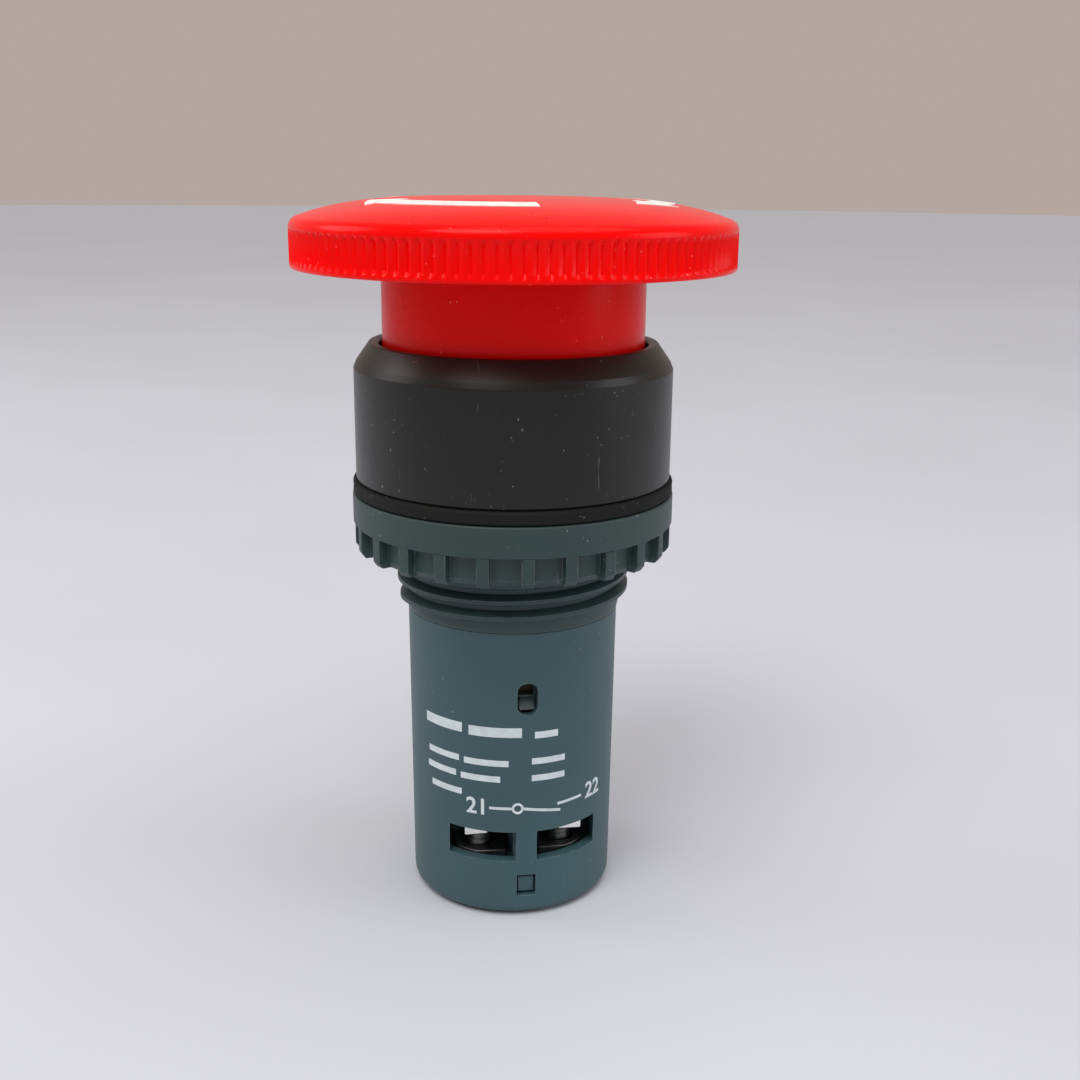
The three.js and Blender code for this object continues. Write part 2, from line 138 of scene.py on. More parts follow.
class NeckSettings(bpy.types.PropertyGroup):
    pitch: length("Thread pitch", 1.5, "Rise of the thread in one turn")
    root_radius: length("Thread root radius", 10.15, "Radius at the bottom of the thread")
    crest_radius: length("Thread crest radius", 11.0, "Radius at the top of the thread")
    start: length("Thread start", 29.1, "Height of the thread's lower end")
    thread_turn: angle("Thread turn", 150, "Where the thread starts, from +X")
    shade: colour("Threaded neck", 0.028, 0.056, 0.057, "Colour of the threaded neck")


class BlockSettings(bpy.types.PropertyGroup):
    wall: length("Wall", 1.2, "Wall of the contact housing")
    corner: length("Corner", 1.0, "Rounding of the housing's rear edge")
    # The contact block's colour is raised above the plastic's own colour so that it carries painted
    # bounce light from the floor, which lightens the housing's lower part.
    shade: colour("Contact block", 0.042, 0.095, 0.110, "Colour of the contact housing and its base")
    print_shade: colour("Print", 0.62, 0.72, 0.76, "Colour of the print on the housing")
    inner_shade: colour("Inner plastic", 0.62, 0.57, 0.46, "Colour of the plastic inside")


class StageSettings(bpy.types.PropertyGroup):
    floor_shade: colour("Floor", 0.58, 0.62, 0.69, "Colour of the floor")
    room_shade: colour("Room", 0.90, 0.77, 0.70, "Colour of the light from all round")
    room_light: FloatProperty(
        name="Room light", description="Strength of the light from all round", default=0.50
    )
    key_power: FloatProperty(
        name="Key light", description="Power of the main light", default=2.05, unit="POWER"
    )
    sky_power: FloatProperty(
        name="Sky light", description="Strength of the even light from above", default=1.0
    )
    eye: FloatVectorProperty(
        name="Camera place", description="Where the camera stands", default=(-0.0176, -0.1216, 0.0686),
        subtype="TRANSLATION", size=3, precision=4,
    )
    look: FloatVectorProperty(
        name="Camera direction", description="Where the camera looks", default=(0.158, 0.950, -0.268),
        subtype="DIRECTION", size=3,
    )
    roll: angle("Camera roll", 0.58, "How far the camera is turned about its own line of sight")
    lens: FloatProperty(
        name="Lens", description="Focal length in millimetres on a 36 mm sensor", default=44.5
    )


class StopButtonSettings(bpy.types.PropertyGroup):
    head: PointerProperty(type=HeadSettings, name="Head", description="Mushroom head and neck sleeve")
    collar: PointerProperty(type=CollarSettings, name="Collar", description="Collar and rubber seals")
    nut: PointerProperty(type=NutSettings, name="Ring nut", description="Ring nut")
    neck: PointerProperty(type=NeckSettings, name="Threaded neck", description="Threaded neck")
    block: PointerProperty(
        type=BlockSettings, name="Contact block", description="Contact housing and what is in it"
    )
    stage: PointerProperty(type=StageSettings, name="Stage", description="Floor, lights and camera")


# ---------------------------------------------------------------- modelling tools

def deselect():
    if bpy.context.object and bpy.context.object.mode != "OBJECT":
        bpy.ops.object.mode_set(mode="OBJECT")
    bpy.ops.object.select_all(action="DESELECT")


def activate(*pieces):
    """Selects these pieces alone and makes the first one active."""
    deselect()
    for piece in pieces:
        piece.select_set(True)
    bpy.context.view_layer.objects.active = pieces[0]
    return pieces[0]


def named(name):
    piece = bpy.context.object
    piece.name = name
    piece.data.name = name
    return piece


def settle():
    """Puts the active piece's place into its mesh, so that its object sits at the origin."""
    bpy.ops.object.transform_apply(location=True, rotation=True, scale=True)


def pick(piece, test, kind="VERT"):
    """Enters edit mode with the vertices or faces that pass the test selected."""
    activate(piece)
    bpy.ops.object.mode_set(mode="EDIT")
    bpy.ops.mesh.select_mode(type=kind)
    bpy.ops.mesh.select_all(action="DESELECT")
    bpy.ops.object.mode_set(mode="OBJECT")
    members = piece.data.vertices if kind == "VERT" else piece.data.polygons
    for member in members:
        member.select = test(member.co if kind == "VERT" else member.center)
    bpy.ops.object.mode_set(mode="EDIT")


def tidy(piece, distance=1e-6):
    """Merges doubled vertices and points every face outwards."""
    activate(piece)
    bpy.ops.object.mode_set(mode="EDIT")
    bpy.ops.mesh.select_all(action="SELECT")
    bpy.ops.mesh.remove_doubles(threshold=distance)
    bpy.ops.mesh.normals_make_consistent(inside=False)
    bpy.ops.object.mode_set(mode="OBJECT")
    return piece


def modify(piece, kind, **settings):
    """Adds a modifier with these settings and applies it."""
    activate(piece)
    modifier = piece.modifiers.new(kind.title(), kind)
    for name, value in settings.items():
        setattr(modifier, name, value)
    bpy.ops.object.modifier_apply(modifier=modifier.name)
    return piece


def smooth(piece, degrees=35):
    activate(piece)
    bpy.ops.object.shade_smooth_by_angle(angle=radians(degrees))
    return piece


def smooth_cut(piece, degrees=30):
    """Smooth shading that keeps the big faces true beside small bevels."""
    smooth(piece, degrees)
    return modify(piece, "WEIGHTED_NORMAL", keep_sharp=True)


def bevelled(piece, width, segments=2, degrees=40):
    modify(
        piece, "BEVEL", width=width, segments=segments, limit_method="ANGLE",
        angle_limit=radians(degrees), use_clamp_overlap=True,
    )
    return piece


def eased(corners, closed=True, steps=5):
    """The outline through (radius, height, rounding) corners, with the rounded ones turned into arcs."""
    outline = []
    for index, (r, z, rounding) in enumerate(corners):
        here = Vector((r, z))
        at_end = index in (0, len(corners) - 1) and not closed
        if rounding == 0 or at_end:
            outline.append(here)
            continue
        back = (Vector(corners[index - 1][:2]) - here).normalized()
        ahead = (Vector(corners[(index + 1) % len(corners)][:2]) - here).normalized()
        half = back.angle(ahead) / 2
        middle = here + (back + ahead).normalized() * rounding / sin(half)
        first = here + back * rounding / tan(half) - middle
        last = here + ahead * rounding / tan(half) - middle
        turn = first.angle(last)
        for step in range(steps + 1):
            t = step / steps
            arm = (first * sin((1 - t) * turn) + last * sin(t * turn)) / sin(turn)
            outline.append(middle + arm)
    if closed:
        outline.append(outline[0].copy())
    return outline


def spun(name, outline, steps=128, sweep=2 * pi):
    """A round piece: an outline drawn vertex by vertex in the XZ plane and spun about the axis."""
    deselect()
    bpy.ops.mesh.primitive_plane_add(size=MM, location=(outline[0].x, 0, outline[0].y))
    piece = named(name)
    settle()
    bpy.ops.object.mode_set(mode="EDIT")
    bpy.ops.mesh.select_mode(type="VERT")
    bpy.ops.mesh.select_all(action="SELECT")
    bpy.ops.mesh.merge(type="CENTER")
    for before, after in zip(outline, outline[1:]):
        step = (after.x - before.x, 0, after.y - before.y)
        bpy.ops.mesh.extrude_region_move(TRANSFORM_OT_translate={"value": step})
    bpy.ops.mesh.select_all(action="SELECT")
    bpy.ops.mesh.spin(steps=steps, angle=sweep, center=CENTRE, axis=AXIS)
    bpy.ops.object.mode_set(mode="OBJECT")
    return tidy(piece)


def block(name, low, high):
    """A box between two corners."""
    deselect()
    middle = [(a + b) / 2 for a, b in zip(low, high)]
    bpy.ops.mesh.primitive_cube_add(size=1, location=middle, scale=[b - a for a, b in zip(low, high)])
    piece = named(name)
    settle()
    return piece


def outwards(side, near, far):
    """Two distances from the middle, put on one side (-1 or 1) of it and in rising order."""
    return sorted((side * near, side * far))


def screw_place(number):
    """Where a terminal screw stands, seen along the button's axis."""
    low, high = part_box("terminal_screw_" + number)
    return (low[0] + high[0]) / 2, (low[1] + high[1]) / 2


def rod(name, r, low, high, place=(0, 0), sides=48):
    deselect()
    bpy.ops.mesh.primitive_cylinder_add(
        vertices=sides, radius=r, depth=high - low, location=(place[0], place[1], (low + high) / 2)
    )
    piece = named(name)
    settle()
    return piece


def combine(piece, tools, operation):
    """Cuts the tools out of the piece, or welds them on, and deletes them."""
    for tool in tools:
        modify(piece, "BOOLEAN", operation=operation, solver="EXACT", object=tool)
        bpy.data.objects.remove(tool)
    return piece


def cut(piece, *tools):
    return combine(piece, tools, "DIFFERENCE")


def weld(piece, *tools):
    return combine(piece, tools, "UNION")


def helix(name, section, rise, turns, steps=40):
    """A closed ridge or wire: its section, drawn in the XZ plane, climbs round the button's axis."""
    deselect()
    bpy.ops.mesh.primitive_circle_add(vertices=len(section), radius=MM, fill_type="NOTHING")
    piece = named(name)
    settle()
    for vertex, (r, z) in zip(piece.data.vertices, section):
        vertex.co = (r, 0, z)
    modify(
        piece, "SCREW", axis="Z", angle=2 * pi, screw_offset=rise, iterations=turns, steps=steps,
        render_steps=steps, use_merge_vertices=True, merge_threshold=1e-7, use_smooth_shade=False,
    )
    activate(piece)
    bpy.ops.object.mode_set(mode="EDIT")
    bpy.ops.mesh.select_all(action="SELECT")
    bpy.ops.mesh.remove_doubles(threshold=1e-6)
    bpy.ops.mesh.select_all(action="SELECT")
    bpy.ops.mesh.fill_holes(sides=0)
    bpy.ops.object.mode_set(mode="OBJECT")
    return tidy(piece)


WIRE_SIDES = 10


def coil(name, mean, wire, low, high, turns):
    """A wire spring between two heights, with one flat turn at each end."""
    rise = (high - low - 3 * wire) / turns
    section = []
    for corner in range(WIRE_SIDES):
        turn = 2 * pi * corner / WIRE_SIDES
        section.append((mean + wire / 2 * cos(turn), low + wire / 2 + wire / 2 * sin(turn)))
    spring = helix(name, [(r, z + wire) for r, z in section], rise, turns)
    for height in (0, high - low - wire):
        end = helix(name + "_end", [(r, z + height) for r, z in section], 0, 1)
        activate(spring, end)
        bpy.ops.object.join()
    return smooth(spring)


def move(piece, x, y, z):
    activate(piece)
    piece.location = (x, y, z)
    settle()
    return piece


def copy_of(piece, name, x=0, y=0, z=0):
    """A copy with a mesh of its own, moved by this much."""
    twin = piece.copy()
    twin.data = piece.data.copy()
    bpy.context.collection.objects.link(twin)
    twin.name = name
    twin.data.name = name
    return move(twin, x, y, z)


def finished(piece, material, body, slot, *nodes):
    """Gives a piece its finish, hangs it on the body it rides on and hides the solids it stands in for.
    """
    piece.data.materials.clear()
    piece.data.materials.append(material)
    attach(piece, body)
    if nodes:
        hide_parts(*nodes)
    return piece


def refined(node, material, body, slot, bevel=0.08 * MM, degrees=50):
    """A solid of the frame, copied with softened edges."""
    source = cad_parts[node]
    piece = source.copy()
    piece.data = source.data.copy()
    piece.parent = None
    bpy.context.collection.objects.link(piece)
    piece.name = node + "_fine"
    piece.data.name = piece.name
    tidy(piece)
    modify(piece, "DECIMATE", decimate_type="DISSOLVE", angle_limit=radians(1))
    bevelled(piece, bevel, degrees=degrees)
    smooth(piece)
    return finished(piece, material, body, slot, node)


# ---------------------------------------------------------------- finishes

class Finish:
    """A material under construction: each method adds one layer to it."""

    def __init__(self, name, shade, roughness, metallic=0.0, specular=0.5):
        self.material = bpy.data.materials.new(name)
        self.material.use_nodes = True
        self.material.diffuse_color = (*shade, 1)
        self.tree = self.material.node_tree
        self.shader = self.tree.nodes["Principled BSDF"]
        self.shader.inputs["Metallic"].default_value = metallic
        self.shader.inputs["Specular IOR Level"].default_value = specular
        self.place = self.tree.nodes.new("ShaderNodeTexCoord").outputs["Object"]
        self.roughness = roughness
        self.tint = None
        self.gloss = None
        self.height = None
        self.shade = (*shade, 1)

    def node(self, kind, inputs=(), **settings):
        """A shader node, its input sockets linked or given a value."""
        made = self.tree.nodes.new(kind)
        for name, value in settings.items():
            setattr(made, name, value)
        for socket, value in dict(inputs).items():
            if isinstance(value, bpy.types.NodeSocket):
                self.tree.links.new(value, made.inputs[socket])
            else:
                made.inputs[socket].default_value = value
        return made

    def noise(self, scale, detail=3.0, stretch=(1, 1, 1), turn=(0, 0, 0)):
        """Noise with features about 1/scale metres across."""
        mapped = self.node(
            "ShaderNodeMapping", {"Vector": self.place, "Scale": stretch, "Rotation": turn}
        )
        texture = self.node(
            "ShaderNodeTexNoise",
            {"Vector": mapped.outputs[0], "Scale": scale, "Detail": detail, "Roughness": 0.6},
        )
        return texture.outputs["Fac"]

    def spread(self, value, low, high, to_low=0.0, to_high=1.0):
        """The value's range from low to high, stretched to another range."""
        return self.node(
            "ShaderNodeMapRange",
            {"Value": value, "From Min": low, "From Max": high, "To Min": to_low, "To Max": to_high},
        ).outputs[0]

    def times(self, first, second, amount):
        """Two values and an amount, multiplied."""
        both = self.node("ShaderNodeMath", {0: first, 1: second}, operation="MULTIPLY").outputs[0]
        return self.node("ShaderNodeMath", {0: both, 1: amount}, operation="MULTIPLY").outputs[0]

    def blend(self, factor, first, second):
        mix = self.node("ShaderNodeMix", {"Factor": factor}, data_type="RGBA")
        for socket, value in ((mix.inputs[6], first), (mix.inputs[7], second)):
            if isinstance(value, bpy.types.NodeSocket):
                self.tree.links.new(value, socket)
            else:
                socket.default_value = value
        return mix.outputs[2]

    def mottled(self, scale, amount):
        """Slow changes of shade over the surface, as moulded plastic and plated metal have."""
        factor = self.spread(self.noise(scale), 0.3, 0.7)
        darker = (*[c * (1 - amount) for c in self.shade[:3]], 1)
        lighter = (*[min(1, c * (1 + amount)) for c in self.shade[:3]], 1)
        self.tint = self.blend(factor, darker, lighter)
        self.gloss = self.spread(factor, 0, 1, self.roughness * 0.88, self.roughness * 1.14)
        return self

    def tinted(self, factor, shade, roughness):
        """Covers part of the surface with another shade and roughness."""
        self.tint = self.blend(factor, self.tint, (*shade, 1))
        change = {"Factor": factor, 2: self.gloss, 3: roughness}
        self.gloss = self.node("ShaderNodeMix", change, data_type="FLOAT").outputs[0]
        return self

    def grained(self, scale, depth):
        """A fine bump, with its depth in metres."""
        self.bump(self.noise(scale, 4.0), depth)
        return self

    def bump(self, height, depth):
        inputs = {"Height": height, "Strength": 1.0, "Distance": depth}
        if self.height is not None:
            inputs["Normal"] = self.height
        self.height = self.node("ShaderNodeBump", inputs).outputs[0]

    def scuffed(self, shade, amount, scale=140, turn=(0.4, 0.2, 0.7)):
        """Fine stray scratches: a thin contour of stretched noise, kept only in a few patches."""
        line = self.noise(scale, 1.0, stretch=(1.0, 1.0, 0.16), turn=turn)
        off = self.node("ShaderNodeMath", {0: line, 1: 0.5}, operation="SUBTRACT").outputs[0]
        near = self.node("ShaderNodeMath", {0: off}, operation="ABSOLUTE").outputs[0]
        thin = self.spread(near, 0.0, 0.004, 1.0, 0.0)
        patch = self.spread(self.noise(scale * 1.3, 2.0), 0.62, 0.68)
        return self.tinted(self.times(thin, patch, amount), shade, min(1.0, self.roughness + 0.3))

    def dusty(self, shade, amount, scale=2600, threshold=0.74):
        """Scattered specks of dust and lint."""
        speck = self.spread(self.noise(scale, 1.0), threshold, threshold + 0.04)
        patch = self.spread(self.noise(90, 2.0), 0.45, 0.62)
        return self.tinted(self.times(speck, patch, amount), shade, 0.9)

    def wear_and_highlight(self, shade, amount, roughness=0.6):
        """Edges lighter than the rest: rubbed wear, and where a brighter edge shade is given (nut,
        collar) a painted highlight along the edges.
        """
        rounded = self.node("ShaderNodeBevel", {"Radius": 0.16 * MM}, samples=4).outputs[0]
        facing = self.node("ShaderNodeNewGeometry").outputs["Normal"]
        alike = self.node("ShaderNodeVectorMath", {0: rounded, 1: facing}, operation="DOT_PRODUCT")
        sharp = self.spread(alike.outputs["Value"], 0.98, 0.80)
        broken = self.spread(self.noise(700, 3.0), 0.40, 0.62)
        return self.tinted(self.times(sharp, broken, amount), shade, roughness)

    def done(self):
        links = self.tree.links
        links.new(self.tint, self.shader.inputs["Base Color"])
        links.new(self.gloss, self.shader.inputs["Roughness"])
        if self.height is not None:
            links.new(self.height, self.shader.inputs["Normal"])
        return self.material


def lighter(shade, amount):
    return tuple(c + (1 - c) * amount for c in shade)


def red_plastic(name, shade, roughness):
    return (
        Finish(name, shade, roughness, specular=0.12)
        .mottled(70, 0.06)
        .scuffed(lighter(shade, 0.30), 0.35, scale=110)
        .dusty(lighter(shade, 0.6), 0.35)
        .grained(2400, 0.004 * MM)
        .done()
    )


def black_plastic(shade):
    return (
        Finish("collar_black", shade, 0.34, specular=0.36)
        .mottled(60, 0.25)
        .scuffed((0.30, 0.29, 0.27), 0.55, scale=120)
        .scuffed((0.22, 0.21, 0.20), 0.4, scale=260, turn=(1.1, 0.5, 0.1))
        .dusty((0.5, 0.49, 0.47), 0.5)
        # Lighter edges: rubbed wear, and a painted highlight along the chamfer's edge.
        .wear_and_highlight((0.24, 0.23, 0.22), 0.6)
        .grained(3000, 0.004 * MM)
        .done()
    )


def rubber(shade):
    return (
        Finish("seal_rubber", shade, 0.78, specular=0.3)
        .mottled(160, 0.3)
        .dusty((0.35, 0.35, 0.34), 0.35, scale=2000)
        .grained(1800, 0.02 * MM)
        .done()
    )


def satin_plastic(name, shade, roughness=0.46, edge_wear_and_highlight=0.16):
    return (
        Finish(name, shade, roughness, specular=0.40)
        .mottled(55, 0.10)
        .scuffed(lighter(shade, 0.22), 0.4, scale=160)
        .dusty(lighter(shade, 0.5), 0.45)
        .wear_and_highlight(lighter(shade, edge_wear_and_highlight), 0.7)
        .grained(2200, 0.008 * MM)
        .done()
    )


def print_ink(name, shade):
    return Finish(name, shade, 0.55).mottled(900, 0.10).grained(4000, 0.004 * MM).done()


def metal(name, shade, roughness, grain=1800):
    finish = Finish(name, shade, roughness, metallic=1.0).mottled(300, 0.12)
    finish.bump(finish.noise(grain, 3.0, stretch=(1, 1, 0.1)), 0.004 * MM)
    return finish.scuffed(lighter(shade, 0.3), 0.5, scale=500).done()


def finishes():
    """Every finish, made once and kept by name."""
    if not FINISHES:
        button = bpy.context.scene.stop_button
        FINISHES.update(
            head=red_plastic("head_red", button.head.shade, 0.22),
            sleeve=red_plastic("sleeve_red", button.head.sleeve_shaded_red, 0.28),
            arrow=print_ink("arrow_white", button.head.arrow_shade),
            collar=black_plastic(button.collar.shade),
            seal=rubber(button.collar.gasket_shade),
            # The nut's edges are lightened more, as a painted highlight along its top edge as well as
            # wear.
            nut=satin_plastic("nut_plastic", button.nut.shade, edge_wear_and_highlight=0.30),
            neck=satin_plastic("neck_plastic", button.neck.shade, 0.42),
            block=satin_plastic("slate_plastic", button.block.shade),
            ink=print_ink("print_white", button.block.print_shade),
            inner=satin_plastic("inner_plastic", button.block.inner_shade),
            spring=metal("spring_steel", (0.52, 0.53, 0.55), 0.28),
            # Steel darkened as painted shade, for the screw shanks in the dark of the wire openings.
            screw=metal("screw_steel", (0.42, 0.43, 0.44), 0.34),
            # Steel darkened much further as painted shade, for the clamp plates in the dark of the wire
            # openings.
            clamp=metal("clamp_steel_painted_shade", (0.20, 0.205, 0.21), 0.42),
            contact=metal("contact_metal", (0.86, 0.86, 0.82), 0.30),
        )
    return FINISHES


FINISHES = {}


# ---------------------------------------------------------------- stage

def lamp(kind, name, place, power, shade=(1, 1, 1)):
    """A light of this kind, turned to the middle of the button."""
    data = bpy.data.lights.new(name, kind)
    data.energy = power
    data.color = shade
    light = bpy.data.objects.new(name, data)
    bpy.context.collection.objects.link(light)
    light.location = place
    light.rotation_euler = (Vector((0, 0, 0.035)) - Vector(place)).to_track_quat("-Z", "Y").to_euler()
    return data


def area_light(name, place, size, power, shade=(1, 1, 1)):
    data = lamp("AREA", name, place, power, shade)
    data.shape = "DISK"
    data.size = size


class STOPBUTTON_OT_stage(bpy.types.Operator):
    """Lays the floor and sets the lights and the camera"""
    bl_idname = "stopbutton.stage"
    bl_label = "Stage"

    def execute(self, context):
        settings = context.scene.stop_button.stage
        deselect()
        bpy.ops.mesh.primitive_circle_add(
            vertices=96, radius=2.4, fill_type="NGON", location=(0, 0, CAD_BOX[0][2] - 0.2 * MM)
        )
        floor = named("floor")
        settle()
        bpy.ops.object.mode_set(mode="EDIT")
        bpy.ops.mesh.inset(thickness=0.2)
        bpy.ops.object.mode_set(mode="OBJECT")
        pale = Finish("floor_pale", settings.floor_shade, 0.7).mottled(9, 0.02).done()
        floor.data.materials.append(pale)

        area_light("key_light", (-0.22, -0.30, 0.60), 0.40, settings.key_power, (1.0, 0.98, 0.95))
        area_light("side_light", (0.55, -0.20, 0.22), 0.35, settings.key_power * 0.35, (0.90, 0.95, 1.0))
        area_light("back_light", (-0.45, 0.15, 0.30), 0.30, settings.key_power * 0.25)
        lamp("SUN", "sky_light", (0.12, -0.10, 0.75), settings.sky_power).angle = radians(55)
        world = bpy.data.worlds.new("soft_room")
        world.use_nodes = True
        background = world.node_tree.nodes["Background"]
        background.inputs["Color"].default_value = (*settings.room_shade, 1)
        background.inputs["Strength"].default_value = settings.room_light
        context.scene.world = world

        data = bpy.data.cameras.new("camera")
        data.lens = settings.lens
        data.sensor_width = 36
        data.clip_start = 0.005
        data.dof.use_dof = False
        camera = bpy.data.objects.new("camera", data)
        context.collection.objects.link(camera)
        facing = Vector(settings.look).to_track_quat("-Z", "Y").to_matrix().to_4x4()
        rolled = facing @ Matrix.Rotation(settings.roll, 4, "Z")
        camera.matrix_world = Matrix.Translation(settings.eye) @ rolled
        context.scene.camera = camera
        context.scene.view_settings.view_transform = "Standard"
        return {"FINISHED"}


# ---------------------------------------------------------------- head

DOME_SHARES = (0, 0.2, 0.35, 0.45, 0.55, 0.62, 0.69, 0.76, 0.83, 0.89)


def dome_height(r, low, high, rim_height):
    """Height of the head's domed top at a distance from the axis, between the head's corners."""
    drop = high[2] - low[2] - rim_height
    return high[2] - drop * (r / high[0]) ** 4


class STOPBUTTON_OT_head(bpy.types.Operator):
    """Models the mushroom head with its grooved rim"""
    bl_idname = "stopbutton.head"
    bl_label = "Mushroom head"

    def execute(self, context):
        head = context.scene.stop_button.head
        low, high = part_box("mushroom_head")
        radius = high[0]
        bottom, top = low[2], high[2]
        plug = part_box("head_sleeve")[1][0] - 0.9 * MM
        rim_top = bottom + head.rim_height
        run_out = 0.4 * MM
        upper = rim_top - 0.78 * MM
        lower = bottom + 0.4 * MM
        recess_outer, recess_inner, recess_depth = radius - 1.9 * MM, 13.6 * MM, 2.6 * MM
        dome = []
        for share in DOME_SHARES:
            dome.append((share * radius, dome_height(share * radius, low, high, head.rim_height), 0))
        outline = eased([
            *dome,
            (radius, rim_top, head.rim_round),
            (radius, upper, 0),
            (radius, upper - run_out, 0),
            (radius, lower + run_out, 0),
            (radius, lower, 0),
            (radius, bottom, 0.25 * MM),
            (recess_outer, bottom, 0.2 * MM),
            (recess_outer - 0.5 * MM, bottom + recess_depth, 0.4 * MM),
            (recess_inner + 0.4 * MM, bottom + recess_depth + 0.2 * MM, 0.4 * MM),
            (recess_inner, bottom, 0.2 * MM),
            (plug, bottom, 0),
            (plug, top - head.shell, 0),
            (0, top - head.shell, 0),
        ], closed=False)
        per_tooth = 4
        piece = spun("mushroom_head_fine", outline, head.teeth * per_tooth)
        step = 2 * pi / (head.teeth * per_tooth)

        def column(place, wanted):
            on_rim = abs(Vector(place[:2]).length - radius) < 0.02 * MM
            inside = lower + run_out / 2 < place[2] < upper - run_out / 2
            return on_rim and inside and round(atan2(place[1], place[0]) / step) % per_tooth in wanted

        for wanted, share in (((0,), 1.0), ((1, 3), 0.5)):
            pick(piece, lambda place: column(place, wanted))
            narrow = 1 - head.groove * share / radius
            bpy.ops.transform.resize(value=(narrow, narrow, 1), center_override=CENTRE)
            bpy.ops.object.mode_set(mode="OBJECT")
        smooth(piece, 24)
        finished(piece, finishes()["head"], "head", "head_red", "mushroom_head")
        return {"FINISHED"}


def fan(name, inner, outer, start, sweep):
    """A flat part of a ring round the axis, from one angle to another."""
    across = [Vector((inner + (outer - inner) * k / 8, 0)) for k in range(9)]
    strip = spun(name, across, 40, sweep)
    strip.rotation_euler = (0, 0, start + sweep)
    settle()
    return strip


def bent_arrow(name, inner, outer, tip, sweep):
    """A clockwise arrow bent round a circle: its shaft starts a sweep before the tip."""
    point = radians(16)  # how far round the arrow's head reaches
    wings = 1.0 * MM  # how far the head stands out past the shaft on each side
    middle = (inner + outer) / 2
    arrow = fan(name, inner - wings, outer + wings, tip, point)
    for vertex in arrow.data.vertices:
        x, y, z = vertex.co
        r = Vector((x, y)).length
        share = ((atan2(y, x) - tip) % (2 * pi)) / point
        narrow = (middle + (r - middle) * min(1, share if share < 2 else 0)) / r
        vertex.co = (x * narrow, y * narrow, z)
    tidy(arrow)
    shaft = fan("shaft", inner, outer, tip + point, sweep - point)
    activate(arrow, shaft)
    bpy.ops.object.join()
    return tidy(arrow)


class STOPBUTTON_OT_arrows(bpy.types.Operator):
    """Lays the three turn arrows on the domed top of the head"""
    bl_idname = "stopbutton.arrows"
    bl_label = "Turn arrows"

    def execute(self, context):
        head = context.scene.stop_button.head
        low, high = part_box("mushroom_head")
        for index in range(3):
            tip = head.arrow_tip + index * 2 * pi / 3
            name = f"turn_arrow_{index + 1}"
            arrow = bent_arrow(name, head.arrow_inner, head.arrow_outer, tip, head.arrow_sweep)
            for vertex in arrow.data.vertices:
                vertex.co.z = dome_height(Vector(vertex.co[:2]).length, low, high, head.rim_height)
            modify(arrow, "SOLIDIFY", thickness=2 * INK, offset=0)
            tidy(arrow)
            finished(arrow, finishes()["arrow"], "head", "marking_white")
        return {"FINISHED"}


class STOPBUTTON_OT_sleeve(bpy.types.Operator):
    """Models the neck sleeve under the head"""
    bl_idname = "stopbutton.sleeve"
    bl_label = "Neck sleeve"

    def execute(self, context):
        low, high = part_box("head_sleeve")
        r = high[0]
        bore = r - 1.6 * MM
        plug = r - 1.0 * MM
        plug_bore = plug - 2.1 * MM
        head_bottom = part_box("mushroom_head")[0][2]
        shoulder = head_bottom - 0.02 * MM
        outline = eased([
            (r, low[2], 0.4 * MM),
            (r, shoulder, 0.1 * MM),
            (plug, shoulder, 0),
            (plug, high[2], 0.2 * MM),
            (plug_bore, high[2], 0),
            (plug_bore, head_bottom + 0.8 * MM, 0),
            (bore, head_bottom - MM, 0),
            (bore, low[2], 0.3 * MM),
        ])
        piece = smooth(spun("head_sleeve_fine", outline, 160))
        finished(piece, finishes()["sleeve"], "head", "sleeve_red", "head_sleeve")
        return {"FINISHED"}


# ---------------------------------------------------------------- collar, seals and nut

class STOPBUTTON_OT_collar(bpy.types.Operator):
    """Models the black collar round the neck"""
    bl_idname = "stopbutton.collar"
    bl_label = "Collar"

    def execute(self, context):
        collar = context.scene.stop_button.collar
        low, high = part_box("bezel_collar")
        r, top = high[0], high[2]
        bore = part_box("head_sleeve")[1][0] + 0.3 * MM
        shoulder = top - collar.chamfer_height
        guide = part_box("wiper_seal")[1][2] + 0.1 * MM
        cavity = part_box("wiper_seal")[1][0] + 0.1 * MM
        outline = eased([
            (bore, guide, 0),
            (bore, top, 0.35 * MM),
            (bore + collar.lip, top, 0.18 * MM),
            (r - 0.25 * MM, shoulder, 0.14 * MM),
            (r, shoulder - 0.6 * MM, 0.3 * MM),
            (r, low[2], 0.3 * MM),
            (cavity, low[2], 0),
            (cavity, guide, 0),
        ])
        piece = smooth(spun("bezel_collar_fine", outline, 192), 40)
        finished(piece, finishes()["collar"], "housing", "collar_black", "bezel_collar")
        return {"FINISHED"}


class STOPBUTTON_OT_seals(bpy.types.Operator):
    """Models the rubber panel gasket and the wiper seal in the collar"""
    bl_idname = "stopbutton.seals"
    bl_label = "Rubber seals"

    def execute(self, context):
        low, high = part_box("panel_gasket")
        bore = high[0] - 3.8 * MM
        r = high[0]
        middle = (low[2] + high[2]) / 2
        outline = eased([
            (bore, low[2], 0.1 * MM),
            (bore, high[2], 0.1 * MM),
            (r, high[2], 0.3 * MM),
            (r - 0.12 * MM, middle, 0),
            (r, low[2], 0.3 * MM),
        ])
        gasket = smooth(spun("panel_gasket_fine", outline, 160))
        finished(gasket, finishes()["seal"], "housing", "seal_rubber", "panel_gasket")

        low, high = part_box("wiper_seal")
        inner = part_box("head_sleeve")[1][0] + 0.1 * MM
        r = high[0]
        outline = eased([
            (r, low[2], 0.15 * MM),
            (r, high[2], 0.15 * MM),
            (inner + 0.5 * MM, high[2], 0.1 * MM),
            (inner, high[2] - 0.4 * MM, 0.15 * MM),
            (inner + 0.4 * MM, low[2], 0.1 * MM),
        ])
        wiper = smooth(spun("wiper_seal_fine", outline, 128))
        finished(wiper, finishes()["seal"], "housing", "seal_rubber", "wiper_seal")
        return {"FINISHED"}


